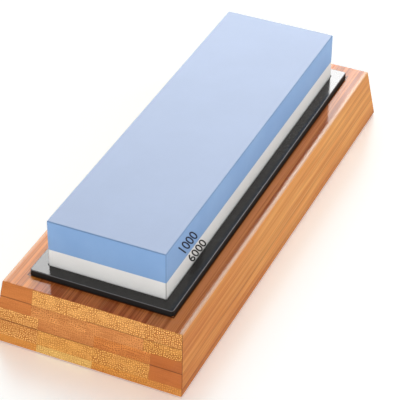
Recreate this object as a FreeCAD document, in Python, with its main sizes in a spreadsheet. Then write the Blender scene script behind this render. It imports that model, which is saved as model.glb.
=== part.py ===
"""A two-grit sharpening stone in a rubber tray on a laminated bamboo base.

The base is glued up from strips, shaped as one block, routed for the tray and
drilled for its feet. The tray lifts out of the base and the stone out of the
tray. Millimetres, +Z up, +Y along the stone, origin under the middle of the
base on the surface that the feet stand on.
"""
import FreeCAD, Part
import os
import Sketcher

# ---------------------------------------------------------------- driving sizes

DIMENSIONS = (
    # alias, value, what it is
    ("stone_width", 52.0, "across both layers"),
    ("stone_length", 180.0, "along both layers"),
    ("coarse_thickness", 14.0, "blue layer"),
    ("fine_thickness", 11.0, "white layer"),
    ("stone_bevel", 0.35, "flat rubbed on every outer edge"),
    ("seat_clearance", 0.2, "stone to tray wall, each side"),
    ("seat_depth", 3.1, "how far the stone sinks into the tray"),
    ("seat_corner", 0.4, "radius in the corners of the seat, under twice its clearance"),
    ("tray_floor", 3.0, "rubber under the stone"),
    ("tray_rim_side", 5.35, "wall beside the stone"),
    ("tray_rim_end", 5.65, "wall past the stone's ends"),
    ("tray_corner", 1.2, "upright corners"),
    ("tray_edge", 0.35, "rounding of the tray's upper edges"),
    ("pocket_clearance", 0.2, "tray to bamboo, each side"),
    ("pocket_depth", 3.6, "routed into the base"),
    ("border_side", 7.75, "bamboo beside the pocket, on the top face"),
    ("border_end", 7.95, "bamboo past the pocket's ends, on the top face"),
    ("flare_side", 2.65, "how much wider the underside is, each side"),
    ("flare_end", 6.5, "how much longer the underside is, each end"),
    ("ply_1", 6.5, "top layer of strips"),
    ("ply_2", 5.0, "second layer"),
    ("ply_3", 5.0, "third layer"),
    ("ply_4", 6.2, "fourth layer"),
    ("ply_5", 3.4, "bottom layer"),
    ("strip_width", 24.7, "sawn width of one bamboo strip"),
    ("upper_shift", -1.1, "middle seam of the two upper layers, off centre"),
    ("lower_shift", 2.5, "middle seam of the three lower layers, off centre"),
    ("saw_allowance", 3.0, "strips stand past the block before it is shaped"),
    ("long_edge", 0.5, "rounding along the two long upper edges"),
    ("under_edge", 0.8, "rounding along the two long lower edges"),
    ("end_edge", 0.3, "easing round both sawn ends"),
    ("foot_diameter", 10.0, "round rubber pad"),
    ("foot_thickness", 2.0, "the whole pad"),
    ("foot_edge", 0.3, "rounding of a pad's lower edge"),
    ("foot_proud", 0.4, "how far a pad stands below the bamboo"),
    ("foot_clearance", 0.1, "pad to the side of its hole"),
    ("foot_inset_side", 9.0, "pad centre in from the underside's long edge"),
    ("foot_inset_end", 16.0, "pad centre in from the underside's end"),
)

# What follows from the driving sizes, each as one expression on the sheet. Every
# name starts from the sheet's, so one expression can be built from another.
SIZE = {alias: "Dimensions." + alias for alias, _, _ in DIMENSIONS}


def follow(name, expression):
    """Names a size that is worked out from others, given in braces."""
    SIZE[name] = "(" + expression.format(**SIZE) + ")"


follow("seat_width", "{stone_width} + 2 * {seat_clearance}")
follow("seat_length", "{stone_length} + 2 * {seat_clearance}")
follow("tray_width", "{seat_width} + 2 * {tray_rim_side}")
follow("tray_length", "{seat_length} + 2 * {tray_rim_end}")
follow("tray_height", "{tray_floor} + {seat_depth}")
follow("pocket_width", "{tray_width} + 2 * {pocket_clearance}")
follow("pocket_length", "{tray_length} + 2 * {pocket_clearance}")
follow("pocket_corner", "{tray_corner} + {pocket_clearance}")
follow("top_half_width", "{pocket_width} / 2 + {border_side}")
follow("top_half_length", "{pocket_length} / 2 + {border_end}")
follow("under_half_width", "{top_half_width} + {flare_side}")
follow("under_half_length", "{top_half_length} + {flare_end}")
follow("sawn_half_width", "{under_half_width} + {saw_allowance}")
follow("sawn_half_length", "{under_half_length} + {saw_allowance}")
follow("foot_x", "{under_half_width} - {foot_inset_side}")
follow("foot_y", "{under_half_length} - {foot_inset_end}")
follow("foot_hole_radius", "{foot_diameter} / 2 + {foot_clearance}")
follow("foot_hole_depth", "{foot_thickness} - {foot_proud}")

# heights of the layers' lower faces, from the bottom up
follow("ply_5_floor", "{foot_proud}")
for upper, lower in ((4, 5), (3, 4), (2, 3), (1, 2)):
    follow("ply_%d_floor" % upper, "{ply_%d_floor} + {ply_%d}" % (lower, lower))
follow("base_top", "{ply_1_floor} + {ply_1}")
follow("tray_seat", "{base_top} - {pocket_depth}")
follow("stone_seat", "{tray_seat} + {tray_floor}")
follow("stone_bond", "{stone_seat} + {fine_thickness}")

doc = FreeCAD.newDocument("Whetstone")
sheet = doc.addObject("Spreadsheet::Sheet", "Dimensions")
for row, (alias, value, meaning) in enumerate(DIMENSIONS, 1):
    sheet.set("A%d" % row, alias)
    sheet.set("B%d" % row, str(value))
    sheet.set("C%d" % row, meaning)
    sheet.setAlias("B%d" % row, alias)
doc.recompute()

# ---------------------------------------------------------------- drawing helpers


def new_body(label):
    body = doc.addObject("PartDesign::Body", label)
    body.Label = label
    return body


def new_sketch(body, name, height=None):
    """A sketch on the body's own XY plane, lifted to a height if one is given."""
    sketch = body.newObject("Sketcher::SketchObject", name)
    plane = [item for item in body.Origin.OriginFeatures if item.Role == "XY_Plane"][0]
    sketch.AttachmentSupport = [(plane, "")]
    sketch.MapMode = "FlatFace"
    if height:
        sketch.setExpression("AttachmentOffset.Base.z", SIZE[height])
    return sketch


def hold(sketch, name, constraint, size):
    """Adds a dimension under a name and ties it to a size."""
    index = sketch.addConstraint(constraint)
    sketch.renameConstraint(index, name)
    sketch.setExpression("Constraints." + name, SIZE[size])


def draw_rectangle(sketch, width, length):
    """Four sides that stay centred on the sketch's origin."""
    corners = [FreeCAD.Vector(x, y, 0) for x, y in ((-9, -9), (9, -9), (9, 9), (-9, 9))]
    for side in range(4):
        sketch.addGeometry(Part.LineSegment(corners[side], corners[(side + 1) % 4]), False)
    for side in range(4):
        sketch.addConstraint(Sketcher.Constraint("Coincident", side, 2, (side + 1) % 4, 1))
    for side in (0, 2):
        sketch.addConstraint(Sketcher.Constraint("Horizontal", side))
    for side in (1, 3):
        sketch.addConstraint(Sketcher.Constraint("Vertical", side))
    sketch.addConstraint(Sketcher.Constraint("Symmetric", 0, 1, 2, 1, -1, 1))
    hold(sketch, "Width", Sketcher.Constraint("DistanceX", 0, 1, 0, 2, 18.0), width)
    hold(sketch, "Length", Sketcher.Constraint("DistanceY", 1, 1, 1, 2, 18.0), length)


def pad(body, name, sketch, thickness):
    feature = body.newObject("PartDesign::Pad", name)
    feature.Profile = sketch
    feature.setExpression("Length", SIZE[thickness])
    doc.recompute()
    return feature


def pocket(body, name, sketch, depth, upwards=False):
    """Cuts down from the sketch, or up from it, and makes sure that it did cut."""
    before = body.Shape.Volume
    feature = body.newObject("PartDesign::Pocket", name)
    feature.Profile = sketch
    feature.Reversed = upwards
    feature.setExpression("Length", SIZE[depth])
    doc.recompute()
    if not feature.Shape.Volume < before:
        raise RuntimeError(name + " cuts nothing")
    return feature


def dress(body, kind, name, base, wanted, radius):
    """Rounds or bevels the edges of a feature that a test picks out."""
    edges = ["Edge%d" % n for n, edge in enumerate(base.Shape.Edges, 1) if wanted(edge)]
    feature = body.newObject("PartDesign::" + kind, name)
    feature.Base = (base, edges)
    feature.setExpression("Radius" if kind == "Fillet" else "Size", SIZE[radius])
    doc.recompute()
    return feature


NEAR = 0.001  # millimetres, for telling where an edge lies
STEEP = 0.9  # share of an edge's length that has to run along an axis


def ends(edge):
    return edge.Vertexes[0].Point, edge.Vertexes[-1].Point


def is_upright(edge):
    """True for an edge that climbs, straight up or up the flare."""
    start, end = ends(edge)
    return abs(end.z - start.z) > STEEP * edge.Length


def lies_at(edge, height):
    """True for an edge with both ends at a height."""
    return all(abs(point.z - height) < NEAR for point in ends(edge))


def touches(edge, height):
    """True for an edge with either end at a height."""
    return any(abs(point.z - height) < NEAR for point in ends(edge))


def runs_along_y(edge):
    start, end = ends(edge)
    return abs(end.y - start.y) > STEEP * edge.Length


# ---------------------------------------------------------------- the stone


def stone_layer(label, thickness, floor, outer_is_top):
    """One bonded layer: a slab bevelled on every edge but those of the bond."""
    body = new_body(label)
    sketch = new_sketch(body, label + "_outline")
    draw_rectangle(sketch, "stone_width", "stone_length")
    slab = pad(body, label + "_slab", sketch, thickness)
    outer = slab.Shape.BoundBox.ZMax if outer_is_top else slab.Shape.BoundBox.ZMin
    dress(body, "Chamfer", label + "_edges", slab,
          lambda edge: is_upright(edge) or lies_at(edge, outer), "stone_bevel")
    body.setExpression("Placement.Base.z", SIZE[floor])
    return body


fine_layer = stone_layer("stone_fine_layer", "fine_thickness", "stone_seat", False)
coarse_layer = stone_layer("stone_coarse_layer", "coarse_thickness", "stone_bond", True)

# ---------------------------------------------------------------- the tray

# moulded rubber, open at the top, its seat a close fit round the stone
tray = new_body("rubber_tray")
outline = new_sketch(tray, "tray_outline")
draw_rectangle(outline, "tray_width", "tray_length")
blank = pad(tray, "tray_blank", outline, "tray_height")
blank = dress(tray, "Fillet", "tray_corners", blank, is_upright, "tray_corner")
seat = new_sketch(tray, "seat_outline", "tray_height")
draw_rectangle(seat, "seat_width", "seat_length")
cut = pocket(tray, "seat", seat, "seat_depth")
cut = dress(tray, "Fillet", "seat_corners", cut,
            lambda edge: is_upright(edge) and not touches(edge, 0.0), "seat_corner")
rim_height = cut.Shape.BoundBox.ZMax
dress(tray, "Fillet", "tray_edges", cut, lambda edge: lies_at(edge, rim_height), "tray_edge")
tray.setExpression("Placement.Base.z", SIZE["tray_seat"])

# ---------------------------------------------------------------- the bamboo block

# the whole block as it is shaped after gluing, before it is told apart into strips
block = new_body("shaped_block")
wedge = block.newObject("PartDesign::AdditiveWedge", "block_blank")
upright_plane = [item for item in block.Origin.OriginFeatures if item.Role == "XZ_Plane"][0]
wedge.AttachmentSupport = [(upright_plane, "")]
wedge.MapMode = "FlatFace"
for corner, sign, size in (
    ("Xmin", "-", "under_half_width"), ("Xmax", "", "under_half_width"),
    ("Zmin", "-", "under_half_length"), ("Zmax", "", "under_half_length"),
    ("X2min", "-", "top_half_width"), ("X2max", "", "top_half_width"),
    ("Z2min", "-", "top_half_length"), ("Z2max", "", "top_half_length"),
    ("Ymin", "", "foot_proud"), ("Ymax", "", "base_top"),
):
    wedge.setExpression(corner, sign + SIZE[size])
doc.recompute()
top_height = wedge.Shape.BoundBox.ZMax
under_height = wedge.Shape.BoundBox.ZMin

shaped = dress(block, "Fillet", "long_edges", wedge,
               lambda edge: lies_at(edge, top_height) and runs_along_y(edge), "long_edge")
shaped = dress(block, "Fillet", "under_edges", shaped,
               lambda edge: lies_at(edge, under_height) and runs_along_y(edge), "under_edge")
top_reach = wedge.Shape.BoundBox.YMax - sheet.get("flare_end") - NEAR
shaped = dress(block, "Fillet", "end_edges", shaped,
               lambda edge: min(abs(point.y) for point in ends(edge)) > top_reach
               and not runs_along_y(edge), "end_edge")

tray_hollow = new_sketch(block, "pocket_outline", "base_top")
draw_rectangle(tray_hollow, "pocket_width", "pocket_length")
routed = pocket(block, "tray_pocket", tray_hollow, "pocket_depth")
pocket_floor = top_height - sheet.get("pocket_depth")
dress(block, "Fillet", "pocket_corners", routed,
      lambda edge: is_upright(edge) and touches(edge, pocket_floor), "pocket_corner")

FOOT_PLACES = (
    # name, side, end
    ("front_left", "-", "-"), ("front_right", "", "-"),
    ("rear_left", "-", ""), ("rear_right", "", ""),
)
for place, side, end in FOOT_PLACES:
    follow("foot_x_" + place, side + "{foot_x}")
    follow("foot_y_" + place, end + "{foot_y}")

foot_holes = new_sketch(block, "foot_hole_outlines", "foot_proud")
for n, (place, side, end) in enumerate(FOOT_PLACES):
    centre = FreeCAD.Vector(-30 if side else 30, -90 if end else 90, 0)
    foot_holes.addGeometry(Part.Circle(centre, FreeCAD.Vector(0, 0, 1), 5.0), False)
    hold(foot_holes, "Radius_" + place, Sketcher.Constraint("Radius", n, 5.0), "foot_hole_radius")
    hold(foot_holes, "Across_" + place,
         Sketcher.Constraint("DistanceX", -1, 1, n, 3, centre.x), "foot_x_" + place)
    hold(foot_holes, "Along_" + place,
         Sketcher.Constraint("DistanceY", -1, 1, n, 3, centre.y), "foot_y_" + place)
pocket(block, "foot_holes", foot_holes, "foot_hole_depth", upwards=True)

# ---------------------------------------------------------------- the bamboo strips

# each strip is what the shaping leaves of one sawn plank
strips = []
for ply in range(1, 6):
    shift = "upper_shift" if ply < 3 else "lower_shift"
    follow("seam_0", "-{sawn_half_width}")
    follow("seam_1", "{%s} - {strip_width}" % shift)
    follow("seam_2", "{%s}" % shift)
    follow("seam_3", "{%s} + {strip_width}" % shift)
    follow("seam_4", "{sawn_half_width}")
    for place in range(1, 5):
        plank = doc.addObject("Part::Box", "plank_%d_%d" % (ply, place))
        follow("plank_width", "{seam_%d} - {seam_%d}" % (place, place - 1))
        plank.setExpression("Width", "2 * " + SIZE["sawn_half_length"])
        plank.setExpression("Length", SIZE["plank_width"])
        plank.setExpression("Height", SIZE["ply_%d" % ply])
        plank.setExpression("Placement.Base.x", SIZE["seam_%d" % (place - 1)])
        plank.setExpression("Placement.Base.y", "-" + SIZE["sawn_half_length"])
        plank.setExpression("Placement.Base.z", SIZE["ply_%d_floor" % ply])
        strip = doc.addObject("Part::Common", "strip_%d_%d" % (ply, place))
        strip.Base = block
        strip.Tool = plank
        strip.Label = "bamboo_ply%d_strip%d" % (ply, place)
        strips.append(strip)

# ---------------------------------------------------------------- the feet

feet = []
for place, _, _ in FOOT_PLACES:
    foot = new_body("foot_" + place)
    disc = new_sketch(foot, "disc_" + place)
    disc.addGeometry(Part.Circle(FreeCAD.Vector(0, 0, 0), FreeCAD.Vector(0, 0, 1), 5.0), False)
    disc.addConstraint(Sketcher.Constraint("Coincident", 0, 3, -1, 1))
    hold(disc, "Diameter", Sketcher.Constraint("Diameter", 0, 10.0), "foot_diameter")
    puck = pad(foot, "puck_" + place, disc, "foot_thickness")
    dress(foot, "Fillet", "puck_edge_" + place, puck, lambda edge: lies_at(edge, 0.0), "foot_edge")
    foot.setExpression("Placement.Base.x", SIZE["foot_x_" + place])
    foot.setExpression("Placement.Base.y", SIZE["foot_y_" + place])
    feet.append(foot)

# ---------------------------------------------------------------- checks and files

doc.recompute()
for item in doc.Objects:
    if "Invalid" in item.State or "Error" in item.State:
        raise RuntimeError("%s failed: %s" % (item.Label, item.State))

nodes = [coarse_layer, fine_layer, tray] + strips + feet
for node in nodes:
    if node.Shape.isNull() or not node.Shape.isValid():
        raise RuntimeError(node.Label + " has no valid shape")
    if len(node.Shape.Solids) != 1:
        raise RuntimeError("%s is %d solids" % (node.Label, len(node.Shape.Solids)))
block_volume = block.Shape.Volume
if abs(sum(strip.Shape.Volume for strip in strips) - block_volume) > 1e-6 * block_volume:
    raise RuntimeError("the strips don't fill the shaped block")

os.makedirs("parts", exist_ok=True)
for node in nodes:
    node.Shape.exportStep("parts/%s.step" % node.Label)
print("%d nodes, block %.1f cm3" % (len(nodes), block_volume / 1000))
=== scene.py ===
import math
import bpy
from mathutils import Euler, Matrix, Vector


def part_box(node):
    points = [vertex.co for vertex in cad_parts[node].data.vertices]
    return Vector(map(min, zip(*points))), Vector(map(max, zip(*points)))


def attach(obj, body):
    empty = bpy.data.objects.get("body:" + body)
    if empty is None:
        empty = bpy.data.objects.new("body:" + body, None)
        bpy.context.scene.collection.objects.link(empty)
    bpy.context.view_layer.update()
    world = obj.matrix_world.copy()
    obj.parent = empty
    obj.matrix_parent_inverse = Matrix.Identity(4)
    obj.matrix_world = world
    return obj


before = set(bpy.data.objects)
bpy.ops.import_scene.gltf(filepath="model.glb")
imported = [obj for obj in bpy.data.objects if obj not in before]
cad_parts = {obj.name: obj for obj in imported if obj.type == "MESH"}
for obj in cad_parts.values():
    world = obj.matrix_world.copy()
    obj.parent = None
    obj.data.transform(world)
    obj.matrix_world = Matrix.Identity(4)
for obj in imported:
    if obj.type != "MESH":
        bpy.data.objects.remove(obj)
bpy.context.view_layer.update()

# ------------------------------------------------------------------ bamboo base
# The base is twenty bamboo strips, glued up in five layers, sawn to a flared block,
# routed for the tray and lacquered. Each strip is its own piece of wood, so its end
# grain and its tone are its own, and some keep a dark skin at the glue joint.
MM = 0.001


def add_node(tree, kind, settings=None, **sockets):
    """Adds a shader node, then sets each named socket or links it to another node's."""
    made = tree.nodes.new("ShaderNode" + kind)
    for name, value in (settings or {}).items():
        setattr(made, name, value)
    for name, value in sockets.items():
        socket = made.inputs[name.replace("_", " ")]
        if isinstance(value, bpy.types.NodeSocket):
            tree.links.new(value, socket)
        else:
            socket.default_value = value
    return made


def maths(tree, operation, *values):
    """A Math node on one or two numbers or sockets; gives its result."""
    made = tree.nodes.new("ShaderNodeMath")
    made.operation = operation
    for socket, value in zip(made.inputs, values):
        if isinstance(value, bpy.types.NodeSocket):
            tree.links.new(value, socket)
        else:
            socket.default_value = value
    return made.outputs[0]


def fade(tree, value, low, high, at_low=0.0, at_high=1.0):
    """Turns a number smoothly from at_low to at_high between two levels."""
    made = add_node(tree, "MapRange", {"interpolation_type": "SMOOTHSTEP"}, Value=value)
    ends = {"From Min": low, "From Max": high, "To Min": at_low, "To Max": at_high}
    for name, level in ends.items():
        made.inputs[name].default_value = level
    return made.outputs["Result"]


def blend_colours(tree, share, below, above, blend_type="MIX"):
    """Mixes two colours, each a colour or a socket, by a share from 0 to 1."""
    made = tree.nodes.new("ShaderNodeMix")
    made.data_type = "RGBA"
    made.blend_type = blend_type
    share_socket, below_socket, above_socket = made.inputs[0], made.inputs[6], made.inputs[7]
    for socket, value in ((share_socket, share), (below_socket, below), (above_socket, above)):
        if isinstance(value, bpy.types.NodeSocket):
            tree.links.new(value, socket)
        elif socket == share_socket:
            socket.default_value = value
        else:
            socket.default_value = (*value, 1.0)
    return made.outputs[2]


def millimetres(tree, shift=(0, 0, 0)):
    """The place on the object in millimetres, moved by a shift so that figures differ."""
    place = add_node(tree, "TexCoord").outputs["Object"]
    return add_node(tree, "Mapping", Vector=place, Location=shift,
                    Scale=(1 / MM, 1 / MM, 1 / MM)).outputs["Vector"]


def stretched(tree, place, x, y, z):
    """The place with each direction scaled, so that a figure runs long in one of them."""
    return add_node(tree, "Mapping", Vector=place, Scale=(x, y, z)).outputs["Vector"]


def grain(tree, place, scale=1.0, detail=4.0, roughness=0.55):
    """Noise from 0 to 1, one feature to a unit of place at scale 1."""
    made = add_node(tree, "TexNoise", Vector=place, Scale=scale, Detail=detail, Roughness=roughness)
    return made.outputs["Fac"]


def directions(tree, vector):
    """A vector's three parts, as sockets X, Y and Z."""
    return add_node(tree, "SeparateXYZ", Vector=vector).outputs


def facing(tree):
    """How squarely the surface faces along each direction, 0 to 1, whichever way it points."""
    normal = add_node(tree, "TexCoord").outputs["Normal"]
    squarely = add_node(tree, "VectorMath", {"operation": "ABSOLUTE"}, Vector=normal)
    return directions(tree, squarely.outputs[0])


def shaded(colour, change):
    """The colour with each channel raised or lowered by its own share."""
    return [part * (1.0 + share) for part, share in zip(colour, change)]


def new_material(name):
    material = bpy.data.materials.new(name)
    material.use_nodes = True
    material.node_tree.nodes.clear()
    return material


def finish_material(material, **sockets):
    """Gives the material its shader and output; sockets are the shader's own."""
    tree = material.node_tree
    shader = add_node(tree, "BsdfPrincipled", **sockets)
    output = tree.nodes.new("ShaderNodeOutputMaterial")
    tree.links.new(shader.outputs[0], output.inputs[0])
    return material


def dress(node_name, material):
    """Gives a carried CAD piece its material in place of the plain one."""
    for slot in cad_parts[node_name].material_slots:
        slot.material = material


LAYERS = 5
STRIPS_ACROSS = 4
# the tones that bamboo takes as it is steamed for longer, from pale to dark
STRAW = (0.93, 0.46, 0.13)
GOLD = (0.85, 0.50, 0.14)
HONEY = (0.83, 0.39, 0.09)
ORANGE = (0.79, 0.33, 0.06)
AMBER = (0.73, 0.29, 0.055)
COPPER = (0.64, 0.21, 0.05)
CHESTNUT = (0.57, 0.19, 0.05)
BRICK = (0.53, 0.15, 0.03)
# layer, strip: tone across the end, how strongly its bundles show (below 0 where they
# are the darker part), how much darker one side is (above 0 the top), strength of the line below
STRIPS = {
    (1, 1): (COPPER, 0.08, 0.10, 0.8),
    (1, 2): (STRAW, 0.55, 0.00, 0.0),
    (1, 3): (STRAW, 0.55, -0.10, 0.7),
    (1, 4): (STRAW, 1.00, -0.15, 0.6),
    (2, 1): (COPPER, 0.12, -0.10, 0.0),
    (2, 2): (CHESTNUT, -0.65, 0.20, 0.0),
    (2, 3): (CHESTNUT, -0.40, 0.00, 0.0),
    (2, 4): (HONEY, 0.70, 0.00, 0.0),
    (3, 1): (STRAW, 0.65, -0.20, 0.9),
    (3, 2): (CHESTNUT, -0.35, -0.15, 0.7),
    (3, 3): (BRICK, -0.70, -0.20, 0.0),
    (3, 4): (BRICK, 0.08, -0.15, 0.9),
    (4, 1): (STRAW, 0.85, 0.30, 0.0),
    (4, 2): (HONEY, 0.45, 0.00, 0.0),
    (4, 3): (HONEY, 0.55, 0.00, 0.0),
    (4, 4): (BRICK, 0.06, 0.00, 0.0),
    (5, 1): (AMBER, 0.20, -0.10, 0.0),
    (5, 2): (GOLD, 0.40, 0.00, 0.0),
    (5, 3): (ORANGE, 0.50, -0.20, 0.0),
    (5, 4): (AMBER, 0.35, -0.10, 0.0),
}
SEAM_COLOUR = (0.16, 0.042, 0.010)

# along a strip: features to a millimetre across, along and up, and the colours they shade
FIBRES = (2.6, 0.02, 2.6)
BANDS = (0.45, 0.003, 0.45)
BROWN_LINES = (1.3, 0.004, 1.3)
PATCHES = (0.16, 0.022, 0.3)
ALONG = (0.715, 0.305, 0.070)
# the bottom layer's colour, darker as painted shade near the floor
ALONG_BOTTOM_SHADE = (0.52, 0.18, 0.03)
DARK_FIBRE = (-0.18, -0.26, -0.34)
PALE_FIBRE = (0.10, 0.18, 0.24)
RED_PATCH = (0.92, 0.78, 0.66)
# painted shade: the wood is darker and browner towards the front end, over this many millimetres
FRONT_SHADE_REACH = 130.0
FRONT_SHADE = (0.90, 0.77, 0.68)


def along_the_strip(tree, layer, own, behind_front, figure):
    """The colour of the strip's sides: banded fibres in red patches, with painted shade towards the front
    end, and on the bottom layer all along.
    """
    # the bottom layer takes the darker colour, painted as shade
    colour = ALONG_BOTTOM_SHADE if layer == LAYERS else ALONG
    wood = blend_colours(tree, figure, shaded(colour, DARK_FIBRE), shaded(colour, PALE_FIBRE))
    patches = grain(tree, stretched(tree, own, *PATCHES), detail=2.0)
    wood = blend_colours(tree, fade(tree, patches, 0.40, 0.62, 0.0, 0.8), wood, RED_PATCH, "MULTIPLY")
    # painted shade: darker and browner towards the front end
    front = fade(tree, behind_front, 0.0, FRONT_SHADE_REACH, 1.0, 0.0)
    return blend_colours(tree, front, wood, FRONT_SHADE, "MULTIPLY")


# on the base's top face the strips lie skin side up, redder and more strongly marked
TOP_FACE = {1: (0.66, 0.20, 0.035), 2: (0.61, 0.16, 0.04), 3: (0.61, 0.16, 0.04), 4: (0.55, 0.17, 0.05)}
DARK_SKIN = (-0.38, -0.50, -0.60)
PALE_SKIN = (0.22, 0.40, 0.50)
# the pocket follows the tray, and a ledge of this width is left beside it
POCKET_CLEARANCE = 0.2
LEDGE = 7.75
tray_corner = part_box("rubber_tray")[1] / MM
pocket_half_width = tray_corner.x + POCKET_CLEARANCE
pocket_half_length = tray_corner.y + POCKET_CLEARANCE
ledge_edge = pocket_half_width + LEDGE
# a pale painted highlight along the long upper edges of the top; it comes in over 1.2 mm
EDGE_HIGHLIGHT = (0.88, 0.52, 0.30)
EDGE_HIGHLIGHT_FROM = ledge_edge - 1.9
EDGE_HIGHLIGHT_TO = ledge_edge - 0.7
# a painted shadow of the gap round the tray, dark on the wood at the pocket's edge, over a little more
# than half a millimetre
POCKET_SHADOW = (0.06, 0.018, 0.005)
POCKET_SHADOW_FROM = 0.4
POCKET_SHADOW_TO = 0.8


def top_face(tree, strip, wood, place, normal, figure):
    """Lays the skin's figure, a painted highlight along the long edges and a painted shadow round the
    pocket over a top strip's wood.
    """
    colour = TOP_FACE[strip]
    upwards = fade(tree, normal["Z"], 0.5, 0.9)
    skin = blend_colours(tree, figure, shaded(colour, DARK_SKIN), shaded(colour, PALE_SKIN))
    wood = blend_colours(tree, upwards, wood, skin)
    off_centre = maths(tree, "ABSOLUTE", place["X"])
    # painted highlight: pale along the long upper edges
    edge_highlight = fade(tree, off_centre, EDGE_HIGHLIGHT_FROM, EDGE_HIGHLIGHT_TO, 0.0, 0.7)
    edge_highlight = maths(tree, "MULTIPLY", edge_highlight, fade(tree, normal["Z"], 0.15, 0.4))
    wood = blend_colours(tree, edge_highlight, wood, EDGE_HIGHLIGHT)
    # painted shadow: dark on the wood just outside the pocket, where the tray meets it
    beside = maths(tree, "SUBTRACT", off_centre, pocket_half_width)
    past_end = maths(tree, "SUBTRACT", maths(tree, "ABSOLUTE", place["Y"]), pocket_half_length)
    beyond = maths(tree, "MAXIMUM", beside, past_end)
    pocket_shadow = maths(tree, "MULTIPLY", fade(tree, beyond, -0.1, 0.0),
                   fade(tree, beyond, POCKET_SHADOW_FROM, POCKET_SHADOW_TO, 0.9, 0.0))
    return blend_colours(tree, maths(tree, "MULTIPLY", pocket_shadow, upwards), wood, POCKET_SHADOW)


# across an end: vessel bundles at this pitch in millimetres, in rows that wander, and
# the darker ground they stand in, with soft blotches and level streaks
BUNDLE_PITCH = 0.80
BUNDLE_DISORDER = 0.42
WANDER = (2.0, 0.0, 2.0)
GROUND = (-0.50, -0.68, -0.78)
BUNDLE = (0.45, 0.85, 1.0)
BLOTCHES = (0.16, 0.0, 0.3)
STREAKS = (0.10, 0.0, 1.2)
STREAK = (-0.30, -0.42, -0.50)
SKIN_SIDE = (-0.42, -0.58, -0.66)


def across_the_end(tree, tone, contrast, skin, own, rise):
    """The colour of the strip's sawn end, and where its vessel bundles are."""
    flat = stretched(tree, own, 1.0, 0.0, 1.0)
    drift = add_node(tree, "TexNoise", Vector=flat, Scale=0.3, Detail=1.0).outputs["Color"]
    wander = add_node(tree, "VectorMath", {"operation": "MULTIPLY_ADD"})
    tree.links.new(drift, wander.inputs[0])
    wander.inputs[1].default_value = WANDER
    tree.links.new(flat, wander.inputs[2])
    upright = directions(tree, wander.outputs[0])
    section = add_node(tree, "CombineXYZ", X=upright["X"], Y=upright["Z"]).outputs[0]
    cells = add_node(tree, "TexVoronoi", {"feature": "F1", "voronoi_dimensions": "2D"},
                     Vector=section, Scale=1.0 / BUNDLE_PITCH, Randomness=BUNDLE_DISORDER)
    bundles = fade(tree, cells.outputs["Distance"], 0.06, 0.40, 1.0, 0.0)

    depth = abs(contrast)
    blotches = grain(tree, stretched(tree, own, *BLOTCHES), detail=3.0)
    show = fade(tree, blotches, 0.30, 0.62, 0.7 * depth, 1.6 * depth)
    ground = blend_colours(tree, show, tone, shaded(tone, GROUND))
    bundle = blend_colours(tree, show, tone, shaded(tone, BUNDLE))
    if contrast < 0:
        ground, bundle = bundle, ground
    wood = blend_colours(tree, bundles, ground, bundle)

    streaks = grain(tree, stretched(tree, own, *STREAKS), detail=4.0)
    wood = blend_colours(tree, fade(tree, streaks, 0.42, 0.75, 0.0, 0.5), wood, shaded(tone, STREAK))
    if skin:
        side = rise if skin > 0 else maths(tree, "SUBTRACT", 1.0, rise)
        wood = blend_colours(tree, maths(tree, "MULTIPLY", side, abs(skin) * 1.6), wood,
                             shaded(tone, SKIN_SIDE))
    return wood, bundles


# glue lines: a hairline at every joint, wider and darker where a strip keeps its skin
HAIRLINE = 0.15
HAIRLINE_WIDTH = 0.14


def glue_lines(tree, layer, strip, line_below, wood, place, end_face, low, high):
    """Draws the joints to the neighbouring strips, fainter along the sides than on the ends."""
    line_above = STRIPS[(layer - 1, strip)][3] if layer > 1 else 0.0
    joints = (
        ("X", low.x, HAIRLINE if strip > 1 else 0.0),
        ("X", high.x, HAIRLINE if strip < STRIPS_ACROSS else 0.0),
        ("Z", low.z, max(HAIRLINE, line_below) if layer < LAYERS else 0.0),
        ("Z", high.z, max(HAIRLINE, 0.6 * line_above) if layer > 1 else 0.0),
    )
    for axis, edge, strength in joints:
        if strength:
            gap = maths(tree, "ABSOLUTE", maths(tree, "SUBTRACT", place[axis], edge))
            width = HAIRLINE_WIDTH + 0.5 * max(0.0, strength - 0.3)
            line = maths(tree, "MULTIPLY", fade(tree, gap, 0.3 * width, width, strength, 0.0),
                         fade(tree, end_face, 0.0, 1.0, 0.4, 1.0))
            wood = blend_colours(tree, line, wood, SEAM_COLOUR)
    return wood


# the lacquer is thin and clear, and evens out most of the grain's relief
LACQUER = 0.30
RELIEF = 0.05 * MM
# how far apart in one bamboo the strips are cut, in millimetres, so that none repeats another
FIGURE_STEP = (37.0, 91.0, 23.0)


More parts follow.
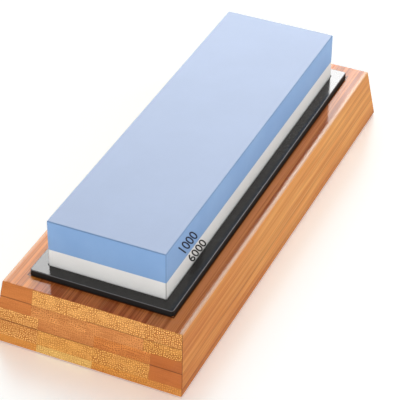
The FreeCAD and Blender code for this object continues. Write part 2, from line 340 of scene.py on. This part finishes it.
def bamboo(layer, strip, tone, contrast, skin, line_below):
    """Lacquered bamboo for one strip, laid on the strip's own node."""
    node_name = "bamboo_ply%d_strip%d" % (layer, strip)
    low, high = [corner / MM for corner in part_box(node_name)]
    material = new_material("lacquered_" + node_name)
    tree = material.node_tree
    number = layer * STRIPS_ACROSS + strip
    own = millimetres(tree, [step * number for step in FIGURE_STEP])
    place = directions(tree, millimetres(tree))
    normal = directions(tree, add_node(tree, "TexCoord").outputs["Normal"])
    squarely = facing(tree)
    end_face = fade(tree, squarely["Y"], 0.6, 0.85)

    fibres = grain(tree, stretched(tree, own, *FIBRES), detail=5.0, roughness=0.62)
    bands = grain(tree, stretched(tree, own, *BANDS), detail=3.0)
    figure = maths(tree, "ADD", maths(tree, "MULTIPLY", fibres, 0.4), maths(tree, "MULTIPLY", bands, 0.6))
    figure = fade(tree, figure, 0.36, 0.62)
    behind_front = maths(tree, "SUBTRACT", place["Y"], low.y)
    long_grain = along_the_strip(tree, layer, own, behind_front, figure)
    if layer == 1:
        long_grain = top_face(tree, strip, long_grain, place, normal, figure)
    lines = grain(tree, stretched(tree, own, *BROWN_LINES), detail=3.0)
    long_grain = blend_colours(tree, fade(tree, lines, 0.58, 0.68, 0.0, 0.4), long_grain, SEAM_COLOUR)
    rise = fade(tree, place["Z"], low.z, high.z)
    end_grain, bundles = across_the_end(tree, tone, contrast, skin, own, rise)
    wood = blend_colours(tree, end_face, long_grain, end_grain)
    wood = glue_lines(tree, layer, strip, line_below, wood, place, end_face, low, high)

    # darker on the sawn ends' upright corners
    corner = maths(tree, "MINIMUM", squarely["X"], squarely["Y"])
    wood = blend_colours(tree, fade(tree, corner, 0.2, 0.45, 0.0, 0.85), wood, SEAM_COLOUR)

    on_the_sides = maths(tree, "MULTIPLY", fibres, maths(tree, "SUBTRACT", 1.0, end_face))
    on_the_ends = maths(tree, "MULTIPLY", bundles, maths(tree, "MULTIPLY", end_face, 0.5))
    relief = add_node(tree, "Bump", Strength=0.15, Distance=RELIEF,
                      Height=maths(tree, "ADD", on_the_sides, on_the_ends))
    finish_material(material, Base_Color=wood, Roughness=fade(tree, fibres, 0.3, 0.7, 0.42, 0.56),
                    Normal=relief.outputs[0], IOR=1.5, Specular_IOR_Level=0.0,
                    Coat_Weight=LACQUER, Coat_Roughness=0.07, Coat_IOR=1.5)
    dress(node_name, material)


for (layer, strip), look in STRIPS.items():
    bamboo(layer, strip, *look)

# ------------------------------------------------------------------ feet
# Four punched rubber pads, stuck into drilled holes in the underside. They are
# matt black, with the faint speckle of ground rubber.
FOOT_BLACK = (0.022, 0.022, 0.023)
FOOT_GREY = (0.055, 0.055, 0.056)
foot_rubber = new_material("foot_rubber")
tree = foot_rubber.node_tree
speckle = grain(tree, millimetres(tree), scale=3.5, detail=3.0)
foot_colour = blend_colours(tree, fade(tree, speckle, 0.45, 0.7), FOOT_BLACK, FOOT_GREY)
foot_finish = add_node(tree, "Bump", Strength=0.4, Distance=0.05 * MM, Height=speckle)
finish_material(foot_rubber, Base_Color=foot_colour, Roughness=fade(tree, speckle, 0.3, 0.7, 0.7, 0.9),
                Normal=foot_finish.outputs[0])
for corner in ("front_left", "front_right", "rear_left", "rear_right"):
    dress("foot_" + corner, foot_rubber)

# ------------------------------------------------------------------ tray
# The tray is moulded in one piece from black rubber, and drops into the pocket.
# Its rim is glossy enough to mirror what stands behind it, and its sides and its
# hollow are duller. Its sides are painted near black as shade, and a grey
# painted highlight runs along the rim's upper edges.
TRAY_BLACK = (0.022, 0.020, 0.018)
TRAY_DUST = (0.030, 0.028, 0.026)
TRAY_SIDE_SHADE = (0.003, 0.003, 0.003)
TRAY_EDGE_HIGHLIGHT = (0.13, 0.13, 0.135)
SIDE_DULLNESS = 0.4
HOLLOW_DULLNESS = 0.25
tray_rubber = new_material("glossy_tray_rubber")
tree = tray_rubber.node_tree
place = millimetres(tree)
dust = grain(tree, place, scale=0.35, detail=6.0, roughness=0.7)
ripple = grain(tree, place, scale=0.06, detail=2.0)
pits = grain(tree, place, scale=2.2, detail=2.0)
surface = maths(tree, "ADD", ripple, maths(tree, "MULTIPLY", pits, 0.02))
tray_finish = add_node(tree, "Bump", Strength=0.15, Distance=0.05 * MM, Height=surface)
squarely = facing(tree)
colour = blend_colours(tree, fade(tree, dust, 0.45, 0.75), TRAY_BLACK, TRAY_DUST)
# painted shade: the sides are coloured near black, darker than the rim's top
colour = blend_colours(tree, fade(tree, squarely["Z"], 0.0, 0.2), TRAY_SIDE_SHADE, colour)
# painted highlight: a grey line along the rim's upper edges
rim_edge = maths(tree, "MINIMUM", squarely["Z"], maths(tree, "MAXIMUM", squarely["X"], squarely["Y"]))
colour = blend_colours(tree, fade(tree, rim_edge, 0.25, 0.55), colour, TRAY_EDGE_HIGHLIGHT)
rim_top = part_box("rubber_tray")[1].z / MM
level = directions(tree, place)["Z"]
duller = maths(tree, "MAXIMUM", fade(tree, squarely["Z"], 0.3, 0.9, SIDE_DULLNESS, 0.0),
               fade(tree, level, rim_top - 1.5, rim_top - 1.0, HOLLOW_DULLNESS, 0.0))
roughness = maths(tree, "ADD", fade(tree, dust, 0.3, 0.8, 0.12, 0.20), duller)
finish_material(tray_rubber, Base_Color=colour, Roughness=roughness, Normal=tray_finish.outputs[0],
                IOR=1.5, Specular_IOR_Level=0.36)
dress("rubber_tray", tray_rubber)

# ------------------------------------------------------------------ stone
# Two layers of abrasive bonded into one block: soft blue on top for the coarse
# work, dense white below for the fine. Both are dry, matt and faintly grainy.
COARSE_BLUE = (0.190, 0.342, 0.615)
COARSE_PALE = (0.230, 0.390, 0.655)
COARSE_DUST_AND_SHEEN = (0.30, 0.39, 0.58)
FINE_WHITE = (0.81, 0.805, 0.79)
FINE_GREY = (0.745, 0.735, 0.72)
# the share of a colour's brightness left in a pore as painted shade, on a chamfered edge, and where the
# dust and painted sheen of the flat faces are thin
PORE_SHADE = 0.7
ON_AN_EDGE = 0.45
THIN_DUST_AND_SHEEN = 0.93


def darker(colour, share):
    return [share * part for part in colour]


def abrasive(name, deep, light, dusted_and_sheen, grit, relief, edge_darkening):
    """A matt, gritty stone, darker on its chamfered edges and with painted shade in its pores; its flat
    top and bottom faces are painted paler, partly with dust and partly with a painted sheen.
    """
    material = new_material(name)
    tree = material.node_tree
    place = millimetres(tree)
    clouds = grain(tree, place, scale=0.05, detail=4.0)
    grains = grain(tree, place, scale=grit, detail=3.0, roughness=0.7)
    cells = add_node(tree, "TexVoronoi", {"feature": "F1"}, Vector=place, Scale=grit * 0.6)
    pores = fade(tree, cells.outputs["Distance"], 0.08, 0.22, 1.0, 0.0)
    tone = maths(tree, "ADD", maths(tree, "MULTIPLY", clouds, 0.5), maths(tree, "MULTIPLY", grains, 0.5))
    colour = blend_colours(tree, fade(tree, tone, 0.35, 0.65), deep, light)
    # painted shade: the pores are coloured darker, as the pits are in shade
    colour = blend_colours(tree, maths(tree, "MULTIPLY", pores, 0.18), colour, darker(deep, PORE_SHADE))
    squarely = facing(tree)
    # the flat top and bottom faces are painted paler: partly dust, partly a painted sheen of light
    dust = blend_colours(tree, fade(tree, tone, 0.3, 0.7), darker(dusted_and_sheen, THIN_DUST_AND_SHEEN), dusted_and_sheen)
    colour = blend_colours(tree, fade(tree, squarely["Z"], 0.8, 0.98), colour, dust)
    # darker on the chamfered edges, where the faces meet
    flatness = maths(tree, "MAXIMUM", maths(tree, "MAXIMUM", squarely["X"], squarely["Y"]), squarely["Z"])
    edge = fade(tree, flatness, 0.75, 0.95, edge_darkening, 0.0)
    colour = blend_colours(tree, edge, colour, darker(deep, ON_AN_EDGE))
    height = maths(tree, "SUBTRACT", grains, pores)
    bump = add_node(tree, "Bump", Strength=relief, Distance=0.05 * MM, Height=height)
    return finish_material(material, Base_Color=colour, IOR=1.5, Normal=bump.outputs[0],
                           Roughness=fade(tree, grains, 0.3, 0.7, 0.50, 0.62))


coarse_stone = abrasive("coarse_blue_stone", COARSE_BLUE, COARSE_PALE, COARSE_DUST_AND_SHEEN,
                        grit=4.0, relief=0.25, edge_darkening=0.4)
fine_stone = abrasive("fine_white_stone", FINE_GREY, FINE_WHITE, FINE_WHITE,
                      grit=7.0, relief=0.15, edge_darkening=0.8)
dress("stone_coarse_layer", coarse_stone)
dress("stone_fine_layer", fine_stone)

# ------------------------------------------------------------------ grit numbers
# Each layer's grit number is printed in dark ink on the long side, near the
# front end, in narrow figures that lean towards it. The ink stands just off the stone.
INK_BLUE = (0.004, 0.009, 0.030)
INK_BLACK = (0.010, 0.008, 0.008)
INK_DEPTH = 0.03 * MM
STROKE_WEIGHT = 0.012
# how far a figure leans over for each millimetre of its height
LEAN = 0.92
stone_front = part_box("stone_coarse_layer")[0].y
stone_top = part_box("stone_coarse_layer")[1].z
stone_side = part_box("stone_coarse_layer")[1].x


def printed_number(name, figures, ink, from_front, below_top, height, length):
    """Figures on the +X side, their near lower corner from_front and below_top, in millimetres."""
    bpy.ops.object.select_all(action="DESELECT")
    bpy.ops.object.text_add(location=(0, 0, 0))
    mark = bpy.context.object
    mark.data.body = figures
    mark.data.resolution_u = 6
    mark.data.offset = STROKE_WEIGHT
    mark.data.extrude = 1.0
    bpy.ops.object.convert(target="MESH")
    mark = bpy.context.object
    mark.name = mark.data.name = name
    across = [vertex.co.x for vertex in mark.data.vertices]
    upwards = [vertex.co.y for vertex in mark.data.vertices]
    stretch = length * MM / (max(across) - min(across))
    rise = height * MM / (max(upwards) - min(upwards))
    start = stone_front + from_front * MM - min(across) * stretch + LEAN * min(upwards) * rise
    foot = stone_top - below_top * MM - min(upwards) * rise
    thick = 0.5 * INK_DEPTH
    stand = Matrix((
        (0, 0, thick, stone_side + thick),
        (stretch, -LEAN * rise, 0, start),
        (0, rise, 0, foot),
        (0, 0, 0, 1),
    ))
    mark.data.transform(stand)
    material = new_material(name + "_ink")
    tree = material.node_tree
    wear = grain(tree, millimetres(tree), scale=3.0, detail=3.0)
    thin_ink = [4.0 * part for part in ink]
    colour = blend_colours(tree, fade(tree, wear, 0.55, 0.75, 0.0, 0.3), ink, thin_ink)
    finish_material(material, Base_Color=colour, Roughness=fade(tree, wear, 0.3, 0.7, 0.5, 0.7),
                    Specular_IOR_Level=0.15)
    mark.data.materials.clear()
    mark.data.materials.append(material)
    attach(mark, "stone")


printed_number("grit_number_1000", "1000", INK_BLUE, from_front=17.9, below_top=11.9,
               height=7.8, length=12.6)
printed_number("grit_number_6000", "6000", INK_BLACK, from_front=25.3, below_top=21.7,
               height=7.0, length=13.9)

# ------------------------------------------------------------------ floor
# A wide sheet of polished white plastic that glows faintly, as a lit table does,
# and shows a soft reflection of the base.
FLOOR_SPAN = 6.0
FLOOR_WHITE = (0.97, 1.0, 0.99, 1.0)
FLOOR_GLOW = (1.0, 1.0, 0.99, 1.0)
bpy.ops.object.select_all(action="DESELECT")
bpy.ops.mesh.primitive_plane_add(size=FLOOR_SPAN)
floor = bpy.context.object
floor.name = "floor"
acrylic = new_material("white_acrylic")
finish_material(acrylic, Base_Color=FLOOR_WHITE, Metallic=0.4, Roughness=0.35,
                Emission_Color=FLOOR_GLOW, Emission_Strength=0.27)
floor.data.materials.append(acrylic)

# ------------------------------------------------------------------ surround
# White walls all round, brighter behind the stone than in front. What the glossy
# pieces mirror is a brighter wall still, as a sheet held up behind them would be.
# the direction of view: its heading from +Y towards +X, and how far it dips
HEADING = math.radians(-23.99)
DIP = math.radians(36.27)
WALL_WHITE = (1.0, 0.998, 0.99, 1.0)
WALL_IN_FRONT = 0.2
WALL_BEHIND = 0.5
WALL_MIRRORED = 1.15
world = bpy.data.worlds.new("white_surround")
bpy.context.scene.world = world
world.use_nodes = True
tree = world.node_tree
towards_back = add_node(tree, "VectorMath", {"operation": "DOT_PRODUCT"},
                        Vector=add_node(tree, "TexCoord").outputs["Generated"])
towards_back.inputs[1].default_value = Vector((math.sin(HEADING), math.cos(HEADING), 0.6)).normalized()
wall = fade(tree, towards_back.outputs["Value"], -0.3, 0.9, WALL_IN_FRONT, WALL_BEHIND)
mirrored = add_node(tree, "LightPath").outputs["Is Glossy Ray"]
extra = maths(tree, "MULTIPLY", mirrored, maths(tree, "SUBTRACT", WALL_MIRRORED, wall))
surround = tree.nodes["Background"]
surround.inputs["Color"].default_value = WALL_WHITE
tree.links.new(maths(tree, "ADD", wall, extra), surround.inputs["Strength"])

# ------------------------------------------------------------------ lights
# Two large soft panels behind and above the stone, and a small one for the ledge,
# give the tops their sheen. A wide low one in front and one on the right fill in.
# The floor is flagged off from those behind, so that it stays an even white.


def soft_panel(name, heading, elevation, distance, size, power):
    """A rectangular light that faces the object; heading is in radians from +Y towards +X."""
    data = bpy.data.lights.new(name, "AREA")
    data.shape = "RECTANGLE"
    data.size, data.size_y = size
    data.energy = power
    panel = bpy.data.objects.new(name, data)
    bpy.context.scene.collection.objects.link(panel)
    away = Vector((math.sin(heading) * math.cos(elevation), math.cos(heading) * math.cos(elevation),
                   math.sin(elevation)))
    panel.location = away * distance
    panel.rotation_euler = away.to_track_quat("Z", "Y").to_euler()
    panel.visible_camera = False
    return panel


back_lights = [
    soft_panel("back_panel", HEADING, DIP, distance=1.4, size=(0.56, 0.50), power=8.3),
    soft_panel("back_wash", HEADING, math.radians(25), distance=1.2, size=(1.3, 0.55), power=8.5),
    soft_panel("ledge_panel", math.radians(-4), math.radians(40), distance=1.2, size=(0.40, 0.35),
               power=2.2),
]
soft_panel("front_fill", math.radians(174), math.radians(12), distance=2.0, size=(1.6, 0.8), power=18.3)
soft_panel("right_fill", math.radians(60), math.radians(14), distance=1.0, size=(0.8, 0.4), power=3.5)
flag = bpy.data.collections.new("flag")
flag.objects.link(floor)
for panel in back_lights:
    panel.light_linking.receiver_collection = flag
for entry in flag.collection_objects:
    entry.light_linking.link_state = "EXCLUDE"

# ------------------------------------------------------------------ camera
# A long lens, well back, looking down along the stone from its near right at a
# point on the floor beneath it, and held a trace off level.
LOOKED_AT = Vector((-5.1, 11.4, 0.0)) * MM
DISTANCE = 792.3 * MM
ROLL = math.radians(0.46)
LENS = 159.06
camera_data = bpy.data.cameras.new("camera")
camera_data.sensor_width = 36.0
camera_data.lens = LENS
camera = bpy.data.objects.new("camera", camera_data)
bpy.context.scene.collection.objects.link(camera)
bpy.context.scene.camera = camera
aim = Euler((math.pi / 2 - DIP, 0.0, -HEADING)).to_matrix() @ Matrix.Rotation(ROLL, 3, "Z")
camera.rotation_euler = aim.to_euler()
camera.location = LOOKED_AT + aim @ Vector((0.0, 0.0, DISTANCE))

bpy.context.scene.view_settings.view_transform = "Standard"
bpy.context.scene.view_settings.look = "None"
